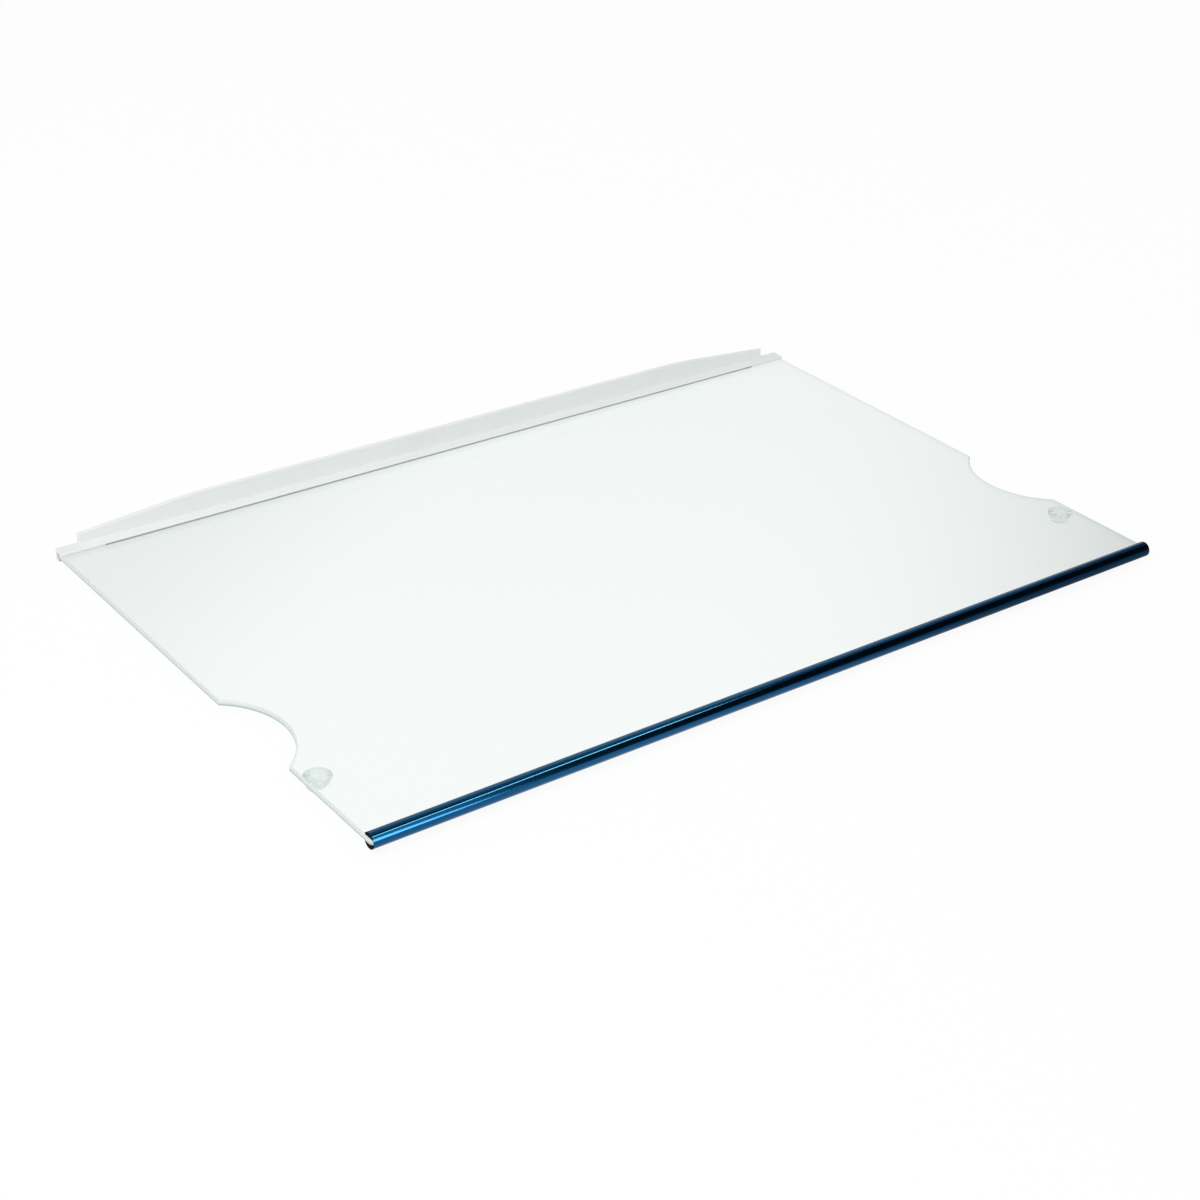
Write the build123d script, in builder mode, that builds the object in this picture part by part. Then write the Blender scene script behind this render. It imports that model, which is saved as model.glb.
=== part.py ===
"""Fridge glass shelf.

A toughened glass plate carries a slotted round trim on its front edge, a moulded clip trim with
an upstand on its rear edge, and two clear stops bonded under its side edges.
Millimetres. +X runs along the width, +Y to the back of the fridge, +Z up. The origin is under
the middle of the shelf, in the plane of the stops' undersides.
"""
import os
from math import sqrt

from build123d import *

os.makedirs("parts", exist_ok=True)

# Glass plate
glass_width = 470.0
glass_depth = 298.0
glass_thickness = 3.0
glass_corner_radius = 3.0
glass_edge_radius = 0.8

# Round notch in each side edge of the glass
notch_radius = 39.5
notch_depth = 15.7
notch_from_front = 99.4
notch_lip_radius = 1.5

# Front trim, a round bead with a slot for the glass
bead_diameter = 7.8
bead_front_wall = 0.4
bead_lip_tip = 0.5
bead_lip_rounding = 0.15
bead_end_inset = 0.5

# Rear trim, a clip channel with an upstand
channel_web = 2.4
upper_lip_thickness = 1.5
upper_lip_overlap = 6.0
lower_lip_thickness = 1.2
lower_lip_overlap = 2.0
lip_front_rounding = 0.5
channel_rear_rounding = 1.2
channel_corner_radius = 1.6
relief_end_inset = 23.5
relief_height = 0.7
relief_depth = 2.5
upstand_height = 12.5
upstand_end_height = 6.9
upstand_end_inset = 12.0
upstand_taper_run = 63.5
upstand_thickness = 2.1
upstand_setback = 0.5
upstand_shoulder_radius = 300.0
upstand_end_radius = 2.5
upstand_foot_radius = 0.4
upstand_top_rounding = 0.6

# Clear stop under each side edge
stop_height = 4.5
stop_glass_diameter = 13.0
stop_tip_diameter = 9.0
stop_tip_rounding = 0.8
stop_side_margin = 0.8
stop_from_front = 56.0

# Fits between the glass and the trims
slot_play = 0.05
edge_gap = 0.2

# Levels of the glass, counted up from the stops' undersides
glass_bottom_z = stop_height
glass_top_z = glass_bottom_z + glass_thickness
glass_middle_z = glass_bottom_z + glass_thickness / 2
slot_height = glass_thickness + 2 * slot_play

# Stations from front to back, centred on the whole shelf
overall_depth = bead_front_wall + edge_gap + glass_depth + edge_gap + channel_web
front_y = -overall_depth / 2
rear_y = overall_depth / 2
bead_slot_y = front_y + bead_front_wall
glass_front_y = bead_slot_y + edge_gap
glass_rear_y = glass_front_y + glass_depth
channel_slot_y = glass_rear_y + edge_gap
half_width = glass_width / 2


# Glass plate: a rectangle with one round notch in each side and ground edges all round.
notch_y = glass_front_y + notch_from_front
notch_x = half_width + notch_radius - notch_depth

with BuildPart() as glass_plate:
    with BuildSketch(Plane.XY.offset(glass_bottom_z)) as glass_outline:
        with Locations((0, glass_front_y)):
            Rectangle(glass_width, glass_depth, align=(Align.CENTER, Align.MIN))
        plate_corners = glass_outline.vertices()
        with Locations((-notch_x, notch_y), (notch_x, notch_y)):
            Circle(notch_radius, mode=Mode.SUBTRACT)
        notch_lips = glass_outline.vertices() - plate_corners
        fillet(notch_lips, notch_lip_radius)
        outer_corners = glass_outline.vertices().group_by(Axis.Y)
        fillet(outer_corners[0] + outer_corners[-1], glass_corner_radius)
    extrude(amount=glass_thickness)
    glass_faces = glass_plate.faces().filter_by(Plane.XY)
    fillet(glass_faces.edges(), glass_edge_radius)

glass_plate.part.label = "glass_plate"
export_step(glass_plate.part, "parts/glass_plate.step")


# Front trim: one extruded bead, cut square at both ends, pushed onto the front edge.
bead_radius = bead_diameter / 2
bead_y = front_y + bead_radius
bead_lip_reach = sqrt(bead_radius**2 - (slot_height / 2 + bead_lip_tip) ** 2)
bead_length = glass_width - 2 * bead_end_inset

with BuildPart() as front_trim:
    with BuildSketch(Plane.YZ) as bead_section:
        with Locations((bead_y, glass_middle_z)):
            Circle(bead_radius)
        with Locations((bead_y + bead_lip_reach, glass_middle_z)):
            Rectangle(bead_diameter, bead_diameter, align=(Align.MIN, Align.CENTER), mode=Mode.SUBTRACT)
        with Locations((bead_slot_y, glass_middle_z)):
            Rectangle(bead_diameter, slot_height, align=(Align.MIN, Align.CENTER), mode=Mode.SUBTRACT)
        lip_tips = bead_section.vertices().group_by(Axis.X)[-1]
        fillet(lip_tips, bead_lip_rounding)
    extrude(amount=bead_length / 2, both=True)

front_trim.part.label = "front_trim"
export_step(front_trim.part, "parts/front_trim.step")


# Rear trim: a clip channel moulded in one with the upstand along its back.
lip_front_y = glass_rear_y - upper_lip_overlap
lip_bottom_z = glass_middle_z + slot_height / 2
lip_top_z = lip_bottom_z + upper_lip_thickness
channel_bottom_z = glass_middle_z - slot_height / 2 - lower_lip_thickness
channel_height = lip_top_z - channel_bottom_z
channel_depth = rear_y - lip_front_y
relief_length = glass_width - 2 * relief_end_inset
upstand_back_y = rear_y - upstand_setback
upstand_front_y = upstand_back_y - upstand_thickness
upstand_top_z = glass_top_z + upstand_height
upstand_end_z = glass_top_z + upstand_end_height
upstand_end_x = half_width - upstand_end_inset
upstand_level_x = upstand_end_x - upstand_taper_run

with BuildPart() as rear_trim:
    # Channel over the rear edge, with the lower lip set back from the upper one
    with BuildSketch(Plane.YZ) as channel_section:
        with Locations((lip_front_y, channel_bottom_z)):
            Rectangle(channel_depth, channel_height, align=Align.MIN)
        with Locations((channel_slot_y, glass_middle_z)):
            Rectangle(channel_depth, slot_height, align=(Align.MAX, Align.CENTER), mode=Mode.SUBTRACT)
        with Locations((glass_rear_y - lower_lip_overlap, channel_bottom_z)):
            Rectangle(channel_depth, lower_lip_thickness, align=(Align.MAX, Align.MIN), mode=Mode.SUBTRACT)
        fillet(channel_section.vertices().group_by(Axis.X)[-1], channel_rear_rounding)
    extrude(amount=half_width, both=True)
    with BuildSketch(Plane.XY.offset(channel_bottom_z)) as channel_plan:
        with Locations((0, lip_front_y)):
            Rectangle(glass_width, channel_depth, align=(Align.CENTER, Align.MIN))
        fillet(channel_plan.vertices().group_by(Axis.Y)[-1], channel_corner_radius)
    extrude(amount=channel_height, mode=Mode.INTERSECT)

    # Upstand, level along the middle and falling to its two ends
    with BuildSketch(Plane.XZ.offset(-upstand_back_y)) as upstand_outline:
        with BuildLine():
            Polyline(
                (-upstand_end_x, lip_bottom_z),
                (-upstand_end_x, upstand_end_z),
                (-upstand_level_x, upstand_top_z),
                (upstand_level_x, upstand_top_z),
                (upstand_end_x, upstand_end_z),
                (upstand_end_x, lip_bottom_z),
                close=True,
            )
        make_face()
        outline_levels = upstand_outline.vertices().group_by(Axis.Y)
        fillet(outline_levels[-1], upstand_shoulder_radius)
        fillet(outline_levels[1], upstand_end_radius)
    extrude(amount=upstand_thickness)

    # Rounded rim of the upstand, its foot on the upper lip, and the lip's front edge
    upstand_edges = rear_trim.edges(Select.LAST).filter_by(Axis.Y, reverse=True)
    rim = upstand_edges.filter_by(lambda edge: edge.center().Z > lip_top_z + upstand_foot_radius)
    fillet(rim, upstand_top_rounding)
    for edge_y, radius in ((upstand_front_y, upstand_foot_radius), (lip_front_y, lip_front_rounding)):
        lip_edges = rear_trim.edges().filter_by(Axis.X).filter_by_position(Axis.Z, lip_top_z, lip_top_z)
        fillet(lip_edges.filter_by_position(Axis.Y, edge_y, edge_y), radius)

    # Relief under the upper lip's front edge, which leaves the lip's ends flat on the glass
    with BuildSketch(Plane.XY.offset(lip_bottom_z)):
        with Locations((0, lip_front_y)):
            Rectangle(relief_length, relief_depth, align=(Align.CENTER, Align.MIN))
    extrude(amount=relief_height, mode=Mode.SUBTRACT)

rear_trim.part.label = "rear_trim"
export_step(rear_trim.part, "parts/rear_trim.step")


# Stops: clear buttons that taper downwards, bonded to the glass by their wide faces.
stop_x = half_width - stop_side_margin - stop_glass_diameter / 2
stop_y = glass_front_y + stop_from_front

for node, side in (("left_stop", -1), ("right_stop", 1)):
    stop_foot = Plane((side * stop_x, stop_y, 0), x_dir=(1, 0, 0), z_dir=(0, -1, 0))
    with BuildPart() as stop:
        with BuildSketch(stop_foot) as stop_profile:
            with BuildLine():
                Polyline(
                    (0, 0),
                    (stop_tip_diameter / 2, 0),
                    (stop_glass_diameter / 2, stop_height),
                    (0, stop_height),
                    close=True,
                )
            make_face()
            tip_corner = stop_profile.vertices().group_by(Axis.Y)[0].sort_by(Axis.X)[-1]
            fillet(tip_corner, stop_tip_rounding)
        revolve(axis=Axis(stop_foot.origin, (0, 0, 1)))
    stop.part.label = node
    export_step(stop.part, f"parts/{node}.step")
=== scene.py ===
from math import atan2, cos, pi, radians, sin, sqrt

import bmesh
import bpy
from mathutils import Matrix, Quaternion, Vector


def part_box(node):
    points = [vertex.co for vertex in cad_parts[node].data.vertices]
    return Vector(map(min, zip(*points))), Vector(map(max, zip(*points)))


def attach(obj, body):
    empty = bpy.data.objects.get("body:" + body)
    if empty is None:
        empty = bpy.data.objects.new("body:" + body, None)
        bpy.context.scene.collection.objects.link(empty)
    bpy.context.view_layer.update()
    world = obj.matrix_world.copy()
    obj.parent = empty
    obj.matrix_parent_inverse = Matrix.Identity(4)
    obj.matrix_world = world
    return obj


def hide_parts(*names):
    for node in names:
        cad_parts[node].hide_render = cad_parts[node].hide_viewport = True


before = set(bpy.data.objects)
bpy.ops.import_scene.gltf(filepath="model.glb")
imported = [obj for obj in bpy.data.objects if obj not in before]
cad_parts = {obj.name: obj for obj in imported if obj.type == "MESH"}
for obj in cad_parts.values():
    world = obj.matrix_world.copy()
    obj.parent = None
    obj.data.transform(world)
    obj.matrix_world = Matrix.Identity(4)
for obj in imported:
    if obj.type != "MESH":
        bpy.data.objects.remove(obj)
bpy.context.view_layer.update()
MM = 0.001


# Glass plate
# One sheet of clear toughened float glass. It is cut to shape with a round notch in each side,
# its edges are ground to a soft round, and then it is heat-toughened.
glass_low, glass_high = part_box("glass_plate")
half_width = glass_high.x
corner_radius = 3.0 * MM
edge_radius = 0.8 * MM
notch_radius = 39.5 * MM
notch_depth = 15.7 * MM
notch_from_front = 99.4 * MM
notch_lip_radius = 1.5 * MM
corner_steps, lip_steps, notch_steps, edge_steps = 10, 8, 72, 6


def linear(hex_colour):
    """The linear colour, with alpha 1, of an sRGB hex value."""
    parts = [int(hex_colour[i:i + 2], 16) / 255 for i in (1, 3, 5)]
    return [p / 12.92 if p <= 0.04045 else ((p + 0.055) / 1.055) ** 2.4 for p in parts] + [1.0]


def add(tree, kind, inputs=None, **settings):
    """Adds one node with its settings; each input is a value or another node's output socket."""
    node = tree.nodes.new(kind)
    for name, value in settings.items():
        setattr(node, name, value)
    for name, value in (inputs or {}).items():
        if isinstance(value, bpy.types.NodeSocket):
            tree.links.new(value, node.inputs[name])
        else:
            node.inputs[name].default_value = value
    return node


def new_material(name):
    """An empty node material."""
    material = bpy.data.materials.new(name)
    material.use_nodes = True
    material.node_tree.nodes.clear()
    return material


def new_piece(name, mesh, node):
    """Puts a finished mesh in the scene in place of a CAD node."""
    piece = bpy.data.objects.new(name, mesh)
    bpy.context.scene.collection.objects.link(piece)
    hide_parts(node)
    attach(piece, "root")
    return piece


def arc(centre, radius, start, end, steps):
    """Points of an arc from the start to the end angle, in radians."""
    angles = [start + (end - start) * i / steps for i in range(steps + 1)]
    return [(centre[0] + radius * cos(a), centre[1] + radius * sin(a)) for a in angles]


def glass_outline(inset):
    """The plate's outline, moved inwards by the inset, counter-clockwise from the front right corner."""
    notch = (half_width + notch_radius - notch_depth, glass_low.y + notch_from_front)
    lip_x = half_width - notch_lip_radius
    lip_rise = sqrt((notch_radius + notch_lip_radius) ** 2 - (notch[0] - lip_x) ** 2)
    turn = atan2(lip_rise, notch[0] - lip_x)
    corner_x = half_width - corner_radius
    corner = corner_radius - inset
    lip = notch_lip_radius - inset
    right = arc((corner_x, glass_low.y + corner_radius), corner, -pi / 2, 0, corner_steps)
    right += arc((lip_x, notch[1] - lip_rise), lip, 0, turn, lip_steps)
    right += arc(notch, notch_radius + inset, pi + turn, pi - turn, notch_steps)[1:-1]
    right += arc((lip_x, notch[1] + lip_rise), lip, -turn, 0, lip_steps)
    right += arc((corner_x, glass_high.y - corner_radius), corner, 0, pi / 2, corner_steps)
    return right + [(-x, y) for x, y in reversed(right)]


def glass_mesh():
    """Rings of the outline climb the rounded edge, and two flat faces close the plate."""
    quarter = [radians(90 * i / edge_steps) for i in range(edge_steps + 1)]
    profile = [(edge_radius * (1 - sin(a)), glass_low.z + edge_radius * (1 - cos(a))) for a in quarter]
    profile += [(inset, glass_low.z + glass_high.z - z) for inset, z in reversed(profile)]
    build = bmesh.new()
    rings = []
    for inset, z in profile:
        rings.append([build.verts.new((x, y, z)) for x, y in glass_outline(inset)])
    for lower, upper in zip(rings, rings[1:]):
        for i in range(len(lower)):
            j = (i + 1) % len(lower)
            face = build.faces.new((lower[i], lower[j], upper[j], upper[i]))
            face.smooth = True
            face.material_index = 1
    build.faces.new(rings[-1])
    build.faces.new(reversed(rings[0]))
    mesh = bpy.data.meshes.new("glass_plate_mesh")
    build.to_mesh(mesh)
    build.free()
    return mesh


def light_path_mix(tree, surface, passing_colour, rays=("Is Diffuse Ray", "Is Shadow Ray")):
    """Lets rays of these kinds pass a clear piece with a plain tint, so its shadow stays soft."""
    path = add(tree, "ShaderNodeLightPath")
    passing = add(tree, "ShaderNodeBsdfTransparent", {"Color": linear(passing_colour)})
    for ray in rays:
        surface = add(tree, "ShaderNodeMixShader", {
            0: path.outputs[ray], 1: surface.outputs[0], 2: passing.outputs[0]})
    return surface


# Float glass, fire polished on its faces: clear and sharp, with the faint green of the iron in it.
glass_ior = 1.52
clear_face = new_material("toughened_float_glass")
tree = clear_face.node_tree
surface = add(tree, "ShaderNodeBsdfPrincipled", {
    "Base Color": linear("#F8FDFB"), "Roughness": 0.0, "IOR": glass_ior, "Transmission Weight": 1.0})
add(tree, "ShaderNodeOutputMaterial", {"Surface": light_path_mix(tree, surface, "#F7FAF9").outputs[0]})

# Ground glass edge: the grinding leaves a misty pale green band that scatters light and lets a little
# through; towards its lower arris it darkens to a grey green, which is painted shade. Seen through the
# glass, the far edges melt into it. The grit is drawn coarser than it is, so that it shows.
grinding_grit = 0.9 * MM
painted_shade_below, pale_above = 0.6 * MM, 2.0 * MM
ground_edge = new_material("ground_glass_edge")
tree = ground_edge.node_tree
place = add(tree, "ShaderNodeTexCoord")
grit = add(tree, "ShaderNodeTexNoise", {
    "Vector": place.outputs["Object"], "Scale": 1 / grinding_grit, "Detail": 3.0})
misty = add(tree, "ShaderNodeMapRange", {"Value": grit.outputs[0], "To Min": 0.25, "To Max": 0.45})
pale = add(tree, "ShaderNodeMix", {
    "Factor": grit.outputs[0], "A": linear("#E2ECE8"), "B": linear("#EAF2EF")}, data_type="RGBA")
height = add(tree, "ShaderNodeSeparateXYZ", {0: place.outputs["Object"]})
# Painted shade: the edge's colour darkens towards its lower arris.
above_painted_shade = add(tree, "ShaderNodeMapRange", {
    "Value": height.outputs["Z"],
    "From Min": glass_low.z + painted_shade_below, "From Max": glass_low.z + pale_above},
    interpolation_type="SMOOTHSTEP")
edge_tone_with_shade = add(tree, "ShaderNodeMix", {
    "Factor": above_painted_shade.outputs[0], "A": linear("#BDCAC4"), "B": pale.outputs[2]}, data_type="RGBA")
surface = add(tree, "ShaderNodeBsdfPrincipled", {
    "Base Color": edge_tone_with_shade.outputs[2], "Roughness": misty.outputs[0], "IOR": glass_ior,
    "Transmission Weight": 0.15})
from_inside = light_path_mix(tree, surface, "#EDF4F1", ("Is Transmission Ray",))
add(tree, "ShaderNodeOutputMaterial", {"Surface": from_inside.outputs[0]})

glass_plate = new_piece("toughened_glass_plate", glass_mesh(), "glass_plate")
glass_plate.data.materials.append(clear_face)
glass_plate.data.materials.append(ground_edge)


# Stops
# Two clear buttons under the side edges, in front of the notches. Each is moulded in clear plastic
# as a blunt cone and bonded to the underside of the glass by its wide face.
stop_low, stop_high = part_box("left_stop")
stop_glass_radius = (stop_high.x - stop_low.x) / 2
stop_tip_radius = 4.5 * MM
stop_tip_rounding = 0.8 * MM
bond_gap = 0.02 * MM
lathe_weld = 0.002 * MM
stop_segments, stop_rounding_steps = 64, 6
sharp_above = radians(35)


def group_with_inputs(name, inputs):
    """A Geometry Nodes group with one geometry output, and the named inputs with their socket types."""
    group = bpy.data.node_groups.new(name, "GeometryNodeTree")
    group.is_modifier = True
    for input_name, kind in inputs.items():
        group.interface.new_socket(name=input_name, in_out="INPUT", socket_type=kind)
    group.interface.new_socket(name="Geometry", in_out="OUTPUT", socket_type="NodeSocketGeometry")
    return group, add(group, "NodeGroupInput").outputs


def finish_group(group, geometry, material, core=None, core_faces=None):
    """Smooths a group's surface up to the sharp edges, then ends it with its materials."""
    angle = add(group, "GeometryNodeInputMeshEdgeAngle")
    sharp = add(group, "FunctionNodeCompare", {0: angle.outputs["Unsigned Angle"], 1: sharp_above})
    smooth = add(group, "GeometryNodeSetShadeSmooth", {"Geometry": geometry, "Shade Smooth": True})
    edges = add(group, "GeometryNodeSetShadeSmooth", {
        "Geometry": smooth.outputs[0], "Selection": sharp.outputs[0], "Shade Smooth": False}, domain="EDGE")
    real = add(group, "GeometryNodeRealizeInstances", {"Geometry": edges.outputs[0]})
    ended = add(group, "GeometryNodeSetMaterial", {"Geometry": real.outputs[0], "Material": material})
    if core is not None:
        ended = add(group, "GeometryNodeSetMaterial", {
            "Geometry": ended.outputs[0], "Selection": core_faces, "Material": core})
    add(group, "NodeGroupOutput", {"Geometry": ended.outputs[0]})


def baked(data, group, values):
    """The plain mesh that a group makes of this data, with its inputs set by their sockets' identifiers."""
    maker = bpy.data.objects.new(group.name, data)
    bpy.context.scene.collection.objects.link(maker)
    modifier = maker.modifiers.new(group.name, "NODES")
    modifier.node_group = group
    for item in group.interface.items_tree:
        if item.in_out == "INPUT" and item.name in values:
            modifier[item.identifier] = values[item.name]
    evaluated = maker.evaluated_get(bpy.context.evaluated_depsgraph_get())
    mesh = bpy.data.meshes.new_from_object(evaluated)
    modifier.node_group = None
    maker.modifiers.remove(modifier)
    bpy.data.objects.remove(maker)
    return mesh


def stop_group():
    """Turns the stop's half profile about its own axis."""
    group, given = group_with_inputs("turned_stop", {
        "Place": "NodeSocketVector", "Height": "NodeSocketFloat", "Glass Radius": "NodeSocketFloat",
        "Tip Radius": "NodeSocketFloat", "Tip Rounding": "NodeSocketFloat", "Segments": "NodeSocketInt",
        "Material": "NodeSocketMaterial"})
    tip = add(group, "ShaderNodeCombineXYZ", {"X": given["Tip Radius"]})
    rim = add(group, "ShaderNodeCombineXYZ", {"X": given["Glass Radius"], "Y": given["Height"]})
    top = add(group, "ShaderNodeCombineXYZ", {"Y": given["Height"]})
    corners = add(group, "GeometryNodeCurvePrimitiveQuadrilateral", {
        "Point 1": (0, 0, 0), "Point 2": tip.outputs[0],
        "Point 3": rim.outputs[0], "Point 4": top.outputs[0]}, mode="POINTS")
    half = add(group, "GeometryNodeSetSplineCyclic", {"Geometry": corners.outputs[0], "Cyclic": False})
    which = add(group, "GeometryNodeInputIndex")
    tip_corner = 1
    at_tip = add(group, "FunctionNodeCompare", {2: which.outputs[0], 3: tip_corner},
                 data_type="INT", operation="EQUAL")
    radius = add(group, "ShaderNodeMath", {0: at_tip.outputs[0], 1: given["Tip Rounding"]},
                 operation="MULTIPLY")
    profile = add(group, "GeometryNodeFilletCurve", {
        "Curve": half.outputs[0], "Count": stop_rounding_steps, "Radius": radius.outputs[0]}, mode="POLY")
    count = add(group, "GeometryNodeAttributeDomainSize", {"Geometry": profile.outputs[0]},
                component="CURVE")
    around = add(group, "ShaderNodeMath", {0: given["Segments"], 1: 1.0}, operation="ADD")
    grid = add(group, "GeometryNodeMeshGrid", {
        "Vertices X": count.outputs["Point Count"], "Vertices Y": around.outputs[0]})
    ratio = add(group, "ShaderNodeMath", {0: which.outputs[0], 1: around.outputs[0]}, operation="DIVIDE")
    row = add(group, "ShaderNodeMath", {0: ratio.outputs[0]}, operation="FLOOR")
    share = add(group, "ShaderNodeMath", {0: which.outputs[0], 1: around.outputs[0]}, operation="MODULO")
    step = add(group, "ShaderNodeMath", {0: 2 * pi, 1: given["Segments"]}, operation="DIVIDE")
    angle = add(group, "ShaderNodeMath", {0: share.outputs[0], 1: step.outputs[0]}, operation="MULTIPLY")
    spot = add(group, "GeometryNodeInputPosition")
    point = add(group, "GeometryNodeSampleIndex", {
        "Geometry": profile.outputs[0], "Value": spot.outputs[0], "Index": row.outputs[0]},
        data_type="FLOAT_VECTOR", domain="POINT")
    flat = add(group, "ShaderNodeSeparateXYZ", {0: point.outputs[0]})
    level = add(group, "ShaderNodeCombineXYZ", {"X": flat.outputs["X"], "Z": flat.outputs["Y"]})
    turned = add(group, "ShaderNodeVectorRotate", {"Vector": level.outputs[0], "Angle": angle.outputs[0]},
                 rotation_type="Z_AXIS")
    placed = add(group, "ShaderNodeVectorMath", {0: turned.outputs[0], 1: given["Place"]}, operation="ADD")
    lathe = add(group, "GeometryNodeSetPosition", {
        "Geometry": grid.outputs[0], "Position": placed.outputs[0]})
    closed = add(group, "GeometryNodeMergeByDistance", {
        "Geometry": lathe.outputs[0], "Distance": lathe_weld})
    outward = add(group, "GeometryNodeFlipFaces", {"Mesh": closed.outputs[0]})
    finish_group(group, outward.outputs[0], given["Material"])
    return group


# Clear moulded plastic, such as soft polyurethane. It bends light a little less than glass does, is
# faintly milky, and its skin from the mould is hazy, slightly uneven and greyer on the tapered wall.
skin_unevenness = 2.0 * MM
clear_within, grey_beyond = 4.0 * MM, 6.2 * MM
clear_plastic = new_material("clear_moulded_polyurethane")
tree = clear_plastic.node_tree
place = add(tree, "ShaderNodeTexCoord")
uneven = add(tree, "ShaderNodeTexNoise", {
    "Vector": place.outputs["Object"], "Scale": 1 / skin_unevenness, "Detail": 2.0})
haze = add(tree, "ShaderNodeMapRange", {"Value": uneven.outputs[0], "To Min": 0.32, "To Max": 0.42})
one_side = add(tree, "ShaderNodeVectorMath", {0: place.outputs["Object"]}, operation="ABSOLUTE")
stop_axis = (-(stop_low.x + stop_high.x) / 2, -(stop_low.y + stop_high.y) / 2, 0)
outward = add(tree, "ShaderNodeVectorMath", {0: one_side.outputs[0], 1: stop_axis}, operation="SUBTRACT")
level_outward = add(tree, "ShaderNodeVectorMath", {0: outward.outputs[0], 1: (1, 1, 0)},
                    operation="MULTIPLY")
radius = add(tree, "ShaderNodeVectorMath", {0: level_outward.outputs[0]}, operation="LENGTH")
towards_wall = add(tree, "ShaderNodeMapRange", {
    "Value": radius.outputs["Value"], "From Min": clear_within, "From Max": grey_beyond},
    interpolation_type="SMOOTHSTEP")
tone = add(tree, "ShaderNodeMix", {
    "Factor": towards_wall.outputs[0], "A": linear("#FBFDFC"), "B": linear("#F2F4F4")}, data_type="RGBA")
surface = add(tree, "ShaderNodeBsdfPrincipled", {
    "Base Color": tone.outputs[2], "Roughness": haze.outputs[0], "IOR": 1.45, "Transmission Weight": 0.7})
add(tree, "ShaderNodeOutputMaterial", {"Surface": light_path_mix(tree, surface, "#EDF0EF").outputs[0]})

turned_stop = stop_group()
for side in ("left", "right"):
    low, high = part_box(side + "_stop")
    stop_mesh = baked(bpy.data.meshes.new(side + "_stop_blank"), turned_stop, {
        "Place": ((low.x + high.x) / 2, (low.y + high.y) / 2, low.z), "Height": high.z - low.z - bond_gap,
        "Glass Radius": stop_glass_radius, "Tip Radius": stop_tip_radius, "Tip Rounding": stop_tip_rounding,
        "Segments": stop_segments, "Material": clear_plastic})
    new_piece(f"clear_stop_{side}", stop_mesh, side + "_stop")


# Front trim
# A round bead with a slot along its back, extruded in black plastic and covered with a metallised
# dark blue skin. It is cut square to length and pushed onto the front edge of the glass.
bead_low, bead_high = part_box("front_trim")
bead_radius = 3.9 * MM
bead_front_wall = 0.4 * MM
bead_lip_rounding = 0.15 * MM
slot_play = 0.05 * MM
slot_half_height = (glass_high.z - glass_low.z) / 2 + slot_play
bead_centre = Vector((0, bead_low.y + bead_radius, (bead_low.z + bead_high.z) / 2))
slot_margin = 0.005 * MM
bead_steps, bead_lip_steps = 120, 5


def bead_section():
    """A closed curve of the bead's cut face: x runs towards the glass and y up, from the bead's centre."""
    reach = bead_high.y - bead_centre.y
    slot_floor = bead_front_wall - bead_radius
    inner = (reach - bead_lip_rounding, slot_half_height + bead_lip_rounding)
    outer_rise = sqrt((bead_radius - bead_lip_rounding) ** 2 - inner[0] ** 2)
    turn = atan2(outer_rise, inner[0])
    upper = [(slot_floor, slot_half_height)]
    upper += arc(inner, bead_lip_rounding, -pi / 2, 0, bead_lip_steps)
    upper += arc((inner[0], outer_rise), bead_lip_rounding, 0, turn, bead_lip_steps)
    upper += arc((0, 0), bead_radius, turn, pi, bead_steps // 2)[1:]
    outline = upper + [(x, -y) for x, y in reversed(upper[:-1])]
    curve = bpy.data.curves.new("bead_section", "CURVE")
    curve.dimensions = "3D"
    spline = curve.splines.new("POLY")
    spline.points.add(len(outline) - 1)
    for point, (x, y) in zip(spline.points, outline):
        point.co = (x, y, 0, 1)
    spline.use_cyclic_u = True
    return curve


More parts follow.
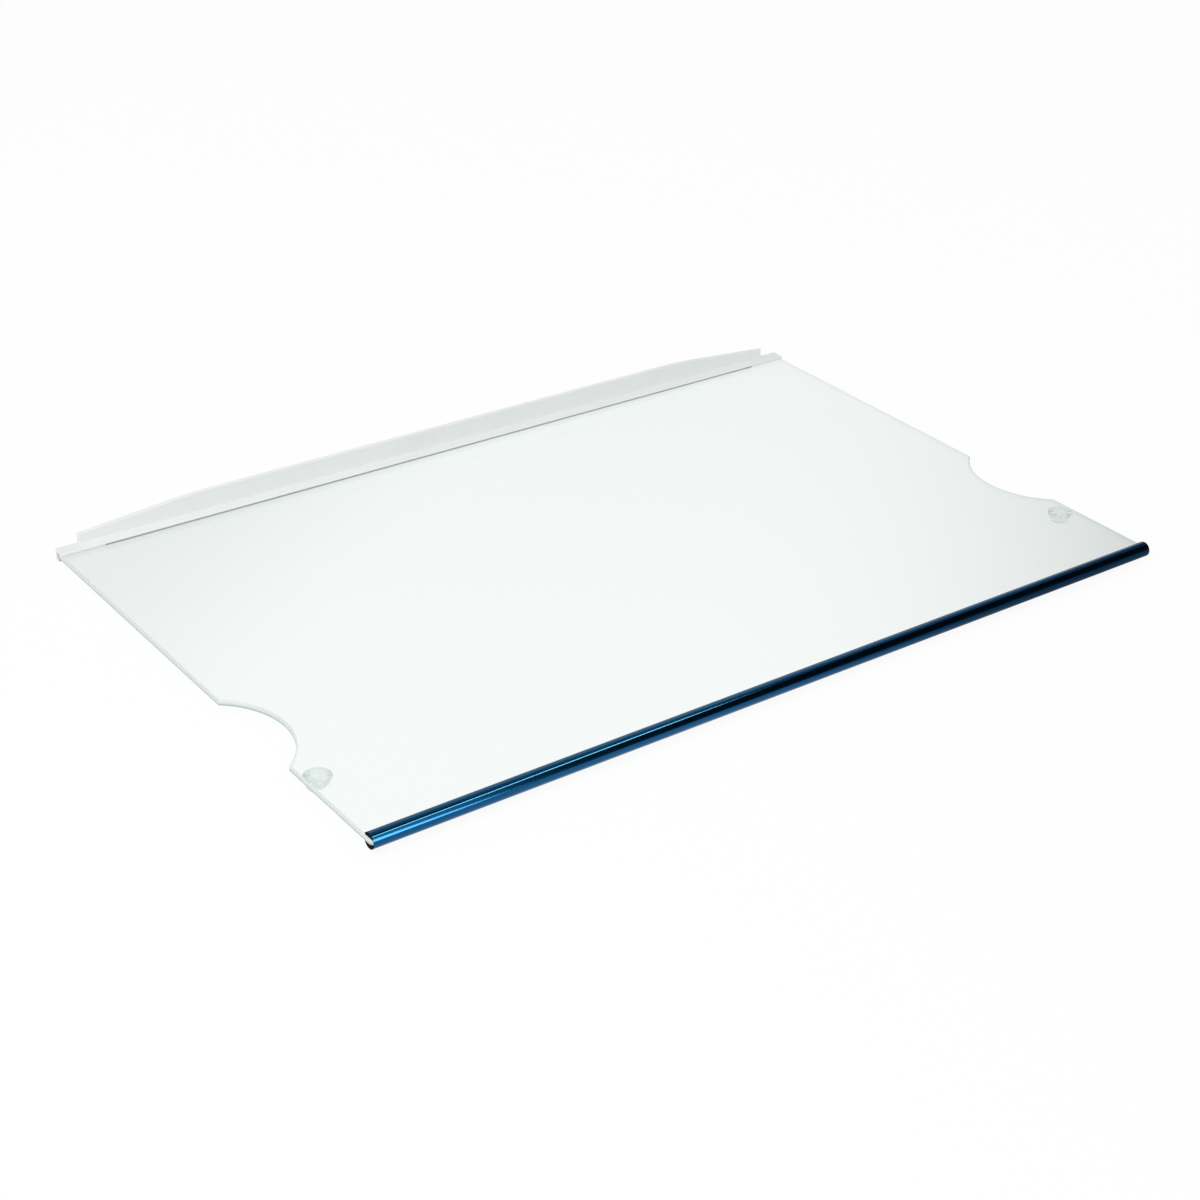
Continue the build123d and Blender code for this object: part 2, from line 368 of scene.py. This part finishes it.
def bead_group():
    """Sweeps the section along the shelf's width, with the slot and the cut ends in the bare core."""
    group, given = group_with_inputs("bead_extrusion", {
        "Section": "NodeSocketGeometry", "Length": "NodeSocketFloat", "Centre": "NodeSocketVector",
        "Slot Half Height": "NodeSocketFloat", "Skin": "NodeSocketMaterial", "Core": "NodeSocketMaterial"})
    half = add(group, "ShaderNodeMath", {0: given["Length"], 1: 0.5}, operation="MULTIPLY")
    back = add(group, "ShaderNodeMath", {0: given["Length"], 1: -0.5}, operation="MULTIPLY")
    start = add(group, "ShaderNodeCombineXYZ", {"X": back.outputs[0]})
    end = add(group, "ShaderNodeCombineXYZ", {"X": half.outputs[0]})
    line = add(group, "GeometryNodeCurvePrimitiveLine", {"Start": start.outputs[0], "End": end.outputs[0]})
    upright = add(group, "GeometryNodeSetCurveTilt", {"Curve": line.outputs[0], "Tilt": pi})
    swept = add(group, "GeometryNodeCurveToMesh", {
        "Curve": upright.outputs[0], "Profile Curve": given["Section"], "Fill Caps": True})
    spot = add(group, "GeometryNodeInputPosition")
    height = add(group, "ShaderNodeSeparateXYZ", {0: spot.outputs[0]})
    off_middle = add(group, "ShaderNodeMath", {0: height.outputs["Z"]}, operation="ABSOLUTE")
    limit = add(group, "ShaderNodeMath", {0: given["Slot Half Height"], 1: slot_margin}, operation="ADD")
    in_slot = add(group, "FunctionNodeCompare", {0: off_middle.outputs[0], 1: limit.outputs[0]},
                  operation="LESS_THAN")
    facing = add(group, "GeometryNodeInputNormal")
    along = add(group, "ShaderNodeSeparateXYZ", {0: facing.outputs[0]})
    across = add(group, "ShaderNodeMath", {0: along.outputs["X"]}, operation="ABSOLUTE")
    cut_end = add(group, "FunctionNodeCompare", {0: across.outputs[0], 1: 0.5})
    inward = add(group, "FunctionNodeCompare", {0: along.outputs["Y"], 1: -0.5})
    slot_face = add(group, "FunctionNodeBooleanMath", {0: in_slot.outputs[0], 1: inward.outputs[0]})
    bare = add(group, "FunctionNodeBooleanMath", {0: slot_face.outputs[0], 1: cut_end.outputs[0]},
               operation="OR")
    flag = add(group, "GeometryNodeStoreNamedAttribute", {
        "Geometry": swept.outputs[0], "Name": "bare_core", "Value": bare.outputs[0]},
        data_type="BOOLEAN", domain="FACE")
    placed = add(group, "GeometryNodeTransform", {
        "Geometry": flag.outputs[0], "Translation": given["Centre"]})
    marked = add(group, "GeometryNodeInputNamedAttribute", {"Name": "bare_core"}, data_type="BOOLEAN")
    finish_group(group, placed.outputs[0], given["Skin"], given["Core"], marked.outputs[0])
    return group


# Metallised skin: a mirror-like dark blue metal film under a clear lacquer. The film colours what it
# mirrors, the lacquer adds a white gleam, and faint lines from the die run along it.
die_line_spacing = 0.35 * MM
die_line_stretch = 400.0
blue_skin = new_material("metallised_blue_skin")
tree = blue_skin.node_tree
place = add(tree, "ShaderNodeTexCoord")
drawn = add(tree, "ShaderNodeMapping", {
    "Vector": place.outputs["Object"], "Scale": (1 / die_line_stretch, 1, 1)})
lines = add(tree, "ShaderNodeTexNoise", {
    "Vector": drawn.outputs[0], "Scale": 1 / die_line_spacing, "Detail": 2.0})
polish = add(tree, "ShaderNodeMapRange", {"Value": lines.outputs[0], "To Min": 0.09, "To Max": 0.13})
surface = add(tree, "ShaderNodeBsdfPrincipled", {
    "Base Color": linear("#145886"), "Metallic": 1.0, "Roughness": polish.outputs[0],
    "Coat Weight": 0.12, "Coat Roughness": 0.05, "Coat IOR": 1.5})
add(tree, "ShaderNodeOutputMaterial", {"Surface": surface.outputs[0]})

# Black plastic core, where the saw or the slot leaves it bare: a dull black with fine saw marks.
saw_mark_spacing = 0.6 * MM
black_core = new_material("black_cut_plastic")
tree = black_core.node_tree
place = add(tree, "ShaderNodeTexCoord")
marks = add(tree, "ShaderNodeTexNoise", {
    "Vector": place.outputs["Object"], "Scale": 1 / saw_mark_spacing, "Detail": 3.0})
dull = add(tree, "ShaderNodeMapRange", {"Value": marks.outputs[0], "To Min": 0.45, "To Max": 0.7})
surface = add(tree, "ShaderNodeBsdfPrincipled", {
    "Base Color": linear("#030304"), "Roughness": dull.outputs[0], "Specular IOR Level": 0.05})
add(tree, "ShaderNodeOutputMaterial", {"Surface": surface.outputs[0]})

bead_mesh = baked(bead_section(), bead_group(), {
    "Length": bead_high.x - bead_low.x, "Centre": bead_centre, "Slot Half Height": slot_half_height,
    "Skin": blue_skin, "Core": black_core})
front_trim = new_piece("blue_front_trim", bead_mesh, "front_trim")


# Rear trim
# A white clip channel with a low upstand along its back that falls towards both ends, moulded in
# one. It is pushed onto the rear edge of the glass and keeps food off the back wall.
triangle_weld = 0.001 * MM


def merged_copy(node, name):
    """A copy of a CAD node's mesh with its loose triangles joined, smooth up to its sharp edges."""
    build = bmesh.new()
    build.from_mesh(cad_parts[node].data)
    bmesh.ops.remove_doubles(build, verts=build.verts, dist=triangle_weld)
    for face in build.faces:
        face.smooth = True
    for edge in build.edges:
        edge.smooth = edge.calc_face_angle(0.0) < sharp_above
    mesh = bpy.data.meshes.new(name)
    build.to_mesh(mesh)
    build.free()
    if mesh.has_custom_normals:
        mesh.attributes.remove(mesh.attributes["custom_normal"])
    return mesh


# White satin ABS with a fine spark-eroded mould texture. It scatters light softly and shows only a
# broad, weak gleam; the texture is drawn coarser than it is, so that it shows.
mould_texture = 0.8 * MM
cloudiness = 60.0 * MM
abs_ior = 1.53
white_plastic = new_material("white_satin_abs")
tree = white_plastic.node_tree
place = add(tree, "ShaderNodeTexCoord")
grain = add(tree, "ShaderNodeTexNoise", {
    "Vector": place.outputs["Object"], "Scale": 1 / mould_texture, "Detail": 2.0})
clouds = add(tree, "ShaderNodeTexNoise", {
    "Vector": place.outputs["Object"], "Scale": 1 / cloudiness, "Detail": 2.0})
tone = add(tree, "ShaderNodeMix", {
    "Factor": clouds.outputs[0], "A": linear("#E7E9E8"), "B": linear("#ECEEED")}, data_type="RGBA")
satin = add(tree, "ShaderNodeMapRange", {"Value": grain.outputs[0], "To Min": 0.35, "To Max": 0.5})
relief = add(tree, "ShaderNodeBump", {"Height": grain.outputs[0], "Strength": 0.12, "Distance": 0.05 * MM})
surface = add(tree, "ShaderNodeBsdfPrincipled", {
    "Base Color": tone.outputs[2], "Roughness": satin.outputs[0], "Normal": relief.outputs[0], "IOR": abs_ior,
    "Specular IOR Level": 0.3})
add(tree, "ShaderNodeOutputMaterial", {"Surface": surface.outputs[0]})

# The same plastic inside the clip, where the core of the mould leaves it dull. Its darker grey is painted
# shade, since no light gets in, and it draws the grey line under the relieved front of the upper lip.
painted_shade_in_clip = new_material("painted_shade_inside_clip")
tree = painted_shade_in_clip.node_tree
surface = add(tree, "ShaderNodeBsdfPrincipled", {
    "Base Color": linear("#B6B9B8"), "Roughness": 0.7, "IOR": abs_ior, "Specular IOR Level": 0.2})
add(tree, "ShaderNodeOutputMaterial", {"Surface": surface.outputs[0]})

rear_trim_mesh = merged_copy("rear_trim", "rear_trim_mesh")
rear_trim = new_piece("white_rear_trim", rear_trim_mesh, "rear_trim")
rear_trim.data.materials.append(white_plastic)
rear_trim.data.materials.append(painted_shade_in_clip)
trim_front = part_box("rear_trim")[0].y
relief_low, relief_top = glass_high.z + 0.5 * MM, glass_high.z + 0.8 * MM
recess_front, recess_back = trim_front + 0.1 * MM, trim_front + 5.0 * MM
# The relief's ceiling and the front-facing steps in the recess under the lip get the painted shade.
for face in rear_trim.data.polygons:
    spot = face.center
    ceiling = face.normal.z < -0.5 and relief_low < spot.z < relief_top
    step = face.normal.y < -0.5 and spot.z < relief_top and recess_front < spot.y < recess_back
    if ceiling or step:
        face.material_index = 1
rear_trim.modifiers.new("level_faces", "WEIGHTED_NORMAL").keep_sharp = True


# Studio
# A wide white floor under a white backdrop, an even room light and three soft lamps: a key lamp high
# on the left, and a warm strip overhead and a warm low lamp in front, which draw the bead's lines.
scene = bpy.context.scene
scene.view_settings.view_transform = "Standard"
floor_size = 12.0
floor_drop = 0.05 * MM
floor_whiteness, whiteness_through_glass = 0.92, 0.97

# In mirror images and through the glass, the floor's glow carries painted shade: it fades towards the
# front right, and a little at the back left, as it does in the photograph.
front_right, corner_right, back_left = (0.894, -0.447, 0), (0.707, -0.707, 0), (-0.6, 0.8, 0)
mirrored_start, mirrored_end, mirrored_left, mirrored_right = 0.0, 0.24, 0.88, 0.17
corner_start, corner_end, corner_loss, corner_power = 0.02, 0.28, 0.36, 3.0
left_start, left_end, left_loss = 0.10, 0.25, 0.12

floor_mesh = bpy.data.meshes.new("floor_mesh")
reach = floor_size / 2
floor_corners = [(-reach, -reach), (reach, -reach), (reach, reach), (-reach, reach)]
floor_mesh.from_pydata([(x, y, -floor_drop) for x, y in floor_corners], [], [(0, 1, 2, 3)])
floor = bpy.data.objects.new("studio_floor", floor_mesh)
scene.collection.objects.link(floor)

white_floor = new_material("white_studio_floor")
tree = white_floor.node_tree
path = add(tree, "ShaderNodeLightPath")
through = add(tree, "ShaderNodeMath", {
    0: path.outputs["Is Camera Ray"], 1: path.outputs["Is Transmission Ray"]}, operation="MAXIMUM")
seen = add(tree, "ShaderNodeMath", {
    0: through.outputs[0], 1: path.outputs["Is Glossy Ray"]}, operation="MAXIMUM")
past_glass = add(tree, "ShaderNodeMath", {
    0: path.outputs["Transmission Depth"], 1: 0.5}, operation="GREATER_THAN")
whiteness = add(tree, "ShaderNodeMix", {
    "Factor": past_glass.outputs[0], "A": floor_whiteness, "B": whiteness_through_glass}, data_type="FLOAT")
share = add(tree, "ShaderNodeMath", {0: seen.outputs[0], 1: whiteness.outputs[0]}, operation="MULTIPLY")
place = add(tree, "ShaderNodeTexCoord")
# Painted shade on the floor's glow, by place: darker towards the front right and the back left.
to_right, to_corner, to_left = [
    add(tree, "ShaderNodeVectorMath", {0: place.outputs["Object"], 1: way}, operation="DOT_PRODUCT")
    for way in (front_right, corner_right, back_left)]
in_mirror = add(tree, "ShaderNodeMapRange", {
    "Value": to_right.outputs["Value"], "From Min": mirrored_start, "From Max": mirrored_end,
    "To Min": mirrored_left, "To Max": mirrored_right}, interpolation_type="SMOOTHSTEP")
near_corner = add(tree, "ShaderNodeMapRange", {
    "Value": to_corner.outputs["Value"], "From Min": corner_start, "From Max": corner_end})
gathering = add(tree, "ShaderNodeMath", {0: near_corner.outputs[0], 1: corner_power}, operation="POWER")
right_fall = add(tree, "ShaderNodeMapRange", {
    "Value": gathering.outputs[0], "To Min": 1.0, "To Max": 1.0 - corner_loss})
left_fall = add(tree, "ShaderNodeMapRange", {
    "Value": to_left.outputs["Value"], "From Min": left_start, "From Max": left_end,
    "To Min": 1.0, "To Max": 1.0 - left_loss}, interpolation_type="SMOOTHSTEP")
through_glass = add(tree, "ShaderNodeMath", {
    0: right_fall.outputs[0], 1: left_fall.outputs[0]}, operation="MULTIPLY")
indirect = add(tree, "ShaderNodeMix", {
    "Factor": past_glass.outputs[0], "A": in_mirror.outputs[0], "B": through_glass.outputs[0]},
    data_type="FLOAT")
strength = add(tree, "ShaderNodeMix", {
    "Factor": path.outputs["Is Camera Ray"], "A": indirect.outputs[0], "B": 1.0}, data_type="FLOAT")
lit = add(tree, "ShaderNodeBsdfDiffuse", {"Color": linear("#F8F8F8")})
glow = add(tree, "ShaderNodeEmission", {"Color": linear("#FFFFFF"), "Strength": strength.outputs[0]})
mixed = add(tree, "ShaderNodeMixShader", {0: share.outputs[0], 1: lit.outputs[0], 2: glow.outputs[0]})
add(tree, "ShaderNodeOutputMaterial", {"Surface": mixed.outputs[0]})
floor_mesh.materials.append(white_floor)


def soft_lamp(name, place, aim, size, radiance, turn=0.0, tint="#FFFFFF"):
    """A rectangular soft lamp, turned about its aim, whose face shows this radiance, where 1 is white."""
    lamp = bpy.data.lights.new(name, "AREA")
    lamp.shape = "RECTANGLE"
    lamp.size, lamp.size_y = size
    lamp.energy = radiance * size[0] * size[1] * pi
    lamp.color = linear(tint)[:3]
    lamp_object = bpy.data.objects.new(name, lamp)
    lamp_object.location = place
    aimed = (Vector(aim) - Vector(place)).to_track_quat("-Z", "Y") @ Quaternion((0, 0, 1), turn)
    lamp_object.rotation_euler = aimed.to_euler()
    scene.collection.objects.link(lamp_object)
    return lamp_object


soft_lamp("key_lamp", place=(-0.7, -0.3, 0.9), aim=(0, 0, 0), size=(0.8, 0.8), radiance=2.2)
strip_lamp = soft_lamp(
    "strip_lamp", place=(0.40, -0.46, 1.0), aim=(0.40, -0.46, 0), size=(0.56, 0.15),
    radiance=13.3, turn=radians(40), tint="#FFCBAA")
front_lamp = soft_lamp(
    "front_lamp", place=(0.115, -0.98, 0.33), aim=(-0.2, -0.15, 0), size=(0.22, 0.55),
    radiance=9.8, turn=radians(10), tint="#FFD4CE")

# The two bead lamps light the bead alone, so that the glass doesn't mirror them.
bead_only = bpy.data.collections.new("lit_by_the_bead_lamps")
bead_only.objects.link(front_trim)
for lamp in (strip_lamp, front_lamp):
    lamp.visible_diffuse = False
    lamp.light_linking.receiver_collection = bead_only

# The room: even light for soft shading, white for what is seen past the floor, and for reflections a
# pale panel and a weak sky glow behind, a broad window in front, a grey horizon and a dark ceiling.
room_light_front, room_light_back = 0.96, 0.60
panel_middle, panel_half, panel_edge = radians(37), radians(14), radians(8)
panel_low, panel_high, panel_top = radians(20), radians(34), radians(62)
panel_low_brightness, panel_high_brightness = 0.60, 0.92
horizon_brightness, ceiling_brightness = 0.08, 0.015
horizon_end = radians(20)
sky_brightness = 0.38
sky_start, sky_end = -0.05, 0.15
sky_low, sky_high = radians(36), radians(48)
room_past_glass = 0.8
window_brightness = 1.0
window_start, window_end = 0.452, 0.487
window_high, window_top = radians(46), radians(58)

world = bpy.data.worlds.new("studio_room")
scene.world = world
world.use_nodes = True
tree = world.node_tree
tree.nodes.clear()
path = add(tree, "ShaderNodeLightPath")
compass = add(tree, "ShaderNodeTexCoord")
heading = add(tree, "ShaderNodeSeparateXYZ", {0: compass.outputs["Generated"]})
azimuth = add(tree, "ShaderNodeMath", {0: heading.outputs["X"], 1: heading.outputs["Y"]}, operation="ARCTAN2")
offset = add(tree, "ShaderNodeMath", {0: azimuth.outputs[0], 1: panel_middle}, operation="SUBTRACT")
aside = add(tree, "ShaderNodeMath", {0: offset.outputs[0]}, operation="ABSOLUTE")
across = add(tree, "ShaderNodeMapRange", {
    "Value": aside.outputs[0], "From Min": panel_half, "From Max": panel_half + panel_edge,
    "To Min": 1.0, "To Max": 0.0},
    interpolation_type="SMOOTHSTEP")
climb = add(tree, "ShaderNodeMath", {0: heading.outputs["Z"]}, operation="ARCSINE")
glow = add(tree, "ShaderNodeMapRange", {
    "Value": climb.outputs[0], "From Min": panel_low, "From Max": panel_high,
    "To Min": panel_low_brightness, "To Max": panel_high_brightness}, interpolation_type="SMOOTHSTEP")
under_top = add(tree, "ShaderNodeMapRange", {
    "Value": climb.outputs[0], "From Min": panel_high, "From Max": panel_top,
    "To Min": 1.0, "To Max": 0.0},
    interpolation_type="SMOOTHSTEP")
shown = add(tree, "ShaderNodeMath", {0: across.outputs[0], 1: under_top.outputs[0]}, operation="MULTIPLY")
panel = add(tree, "ShaderNodeMath", {0: shown.outputs[0], 1: glow.outputs[0]}, operation="MULTIPLY")
sweep = add(tree, "ShaderNodeMapRange", {
    "Value": climb.outputs[0], "From Min": 0.0, "From Max": horizon_end,
    "To Min": horizon_brightness, "To Max": ceiling_brightness}, interpolation_type="SMOOTHSTEP")
behind = add(tree, "ShaderNodeMapRange", {
    "Value": heading.outputs["Y"], "From Min": sky_start, "From Max": sky_end,
    "To Min": 0.0, "To Max": sky_brightness},
    interpolation_type="SMOOTHSTEP")
above = add(tree, "ShaderNodeMapRange", {
    "Value": climb.outputs[0], "From Min": sky_low, "From Max": sky_high}, interpolation_type="SMOOTHSTEP")
sky = add(tree, "ShaderNodeMath", {0: behind.outputs[0], 1: above.outputs[0]}, operation="MULTIPLY")
in_front = add(tree, "ShaderNodeMath", {0: heading.outputs["Y"], 1: 0.0}, operation="LESS_THAN")
left_of = add(tree, "ShaderNodeMapRange", {
    "Value": heading.outputs["X"], "From Min": window_start, "From Max": window_end,
    "To Min": window_brightness, "To Max": 0.0}, interpolation_type="SMOOTHSTEP")
below = add(tree, "ShaderNodeMapRange", {
    "Value": climb.outputs[0], "From Min": window_high, "From Max": window_top,
    "To Min": 1.0, "To Max": 0.0},
    interpolation_type="SMOOTHSTEP")
pane = add(tree, "ShaderNodeMath", {0: left_of.outputs[0], 1: below.outputs[0]}, operation="MULTIPLY")
window = add(tree, "ShaderNodeMath", {0: pane.outputs[0], 1: in_front.outputs[0]}, operation="MULTIPLY")
mirrored = sweep
for shine in (panel, sky, window):
    mirrored = add(tree, "ShaderNodeMath", {
        0: mirrored.outputs[0], 1: shine.outputs[0]}, operation="MAXIMUM")
room = add(tree, "ShaderNodeMapRange", {
    "Value": heading.outputs["Y"], "From Min": -1.0, "From Max": 1.0,
    "To Min": room_light_front, "To Max": room_light_back})
glossy = add(tree, "ShaderNodeMix", {
    "Factor": path.outputs["Is Glossy Ray"], "A": room.outputs[0], "B": mirrored.outputs[0]},
    data_type="FLOAT")
past_glass = add(tree, "ShaderNodeMath", {
    0: path.outputs["Transmission Depth"], 1: 0.5}, operation="GREATER_THAN")
through = add(tree, "ShaderNodeMath", {
    0: past_glass.outputs[0], 1: path.outputs["Is Glossy Ray"]}, operation="MULTIPLY")
indirect = add(tree, "ShaderNodeMix", {
    "Factor": through.outputs[0], "A": glossy.outputs[0], "B": room_past_glass}, data_type="FLOAT")
level = add(tree, "ShaderNodeMix", {
    "Factor": path.outputs["Is Camera Ray"], "A": indirect.outputs[0], "B": 1.0}, data_type="FLOAT")
background = add(tree, "ShaderNodeBackground", {"Color": linear("#FFFFFF"), "Strength": level.outputs[0]})
add(tree, "ShaderNodeOutputWorld", {"Surface": background.outputs[0]})

# Camera at the photograph's place: in front on the left, looking down, turned a little clockwise.
camera_eye = Vector((-626.9, -801.3, 545.5)) * MM
camera_target = Vector((-36.7, -38.5, 7.5)) * MM
camera_roll = radians(2.295)
camera_lens_mm = 67.97

camera_data = bpy.data.cameras.new("photo_camera")
camera_data.lens = camera_lens_mm
camera_data.sensor_width = 36.0
camera = bpy.data.objects.new("photo_camera", camera_data)
camera.location = camera_eye
turn = (camera_target - camera_eye).to_track_quat("-Z", "Y") @ Quaternion((0, 0, 1), camera_roll)
camera.rotation_euler = turn.to_euler()
scene.collection.objects.link(camera)
scene.camera = camera
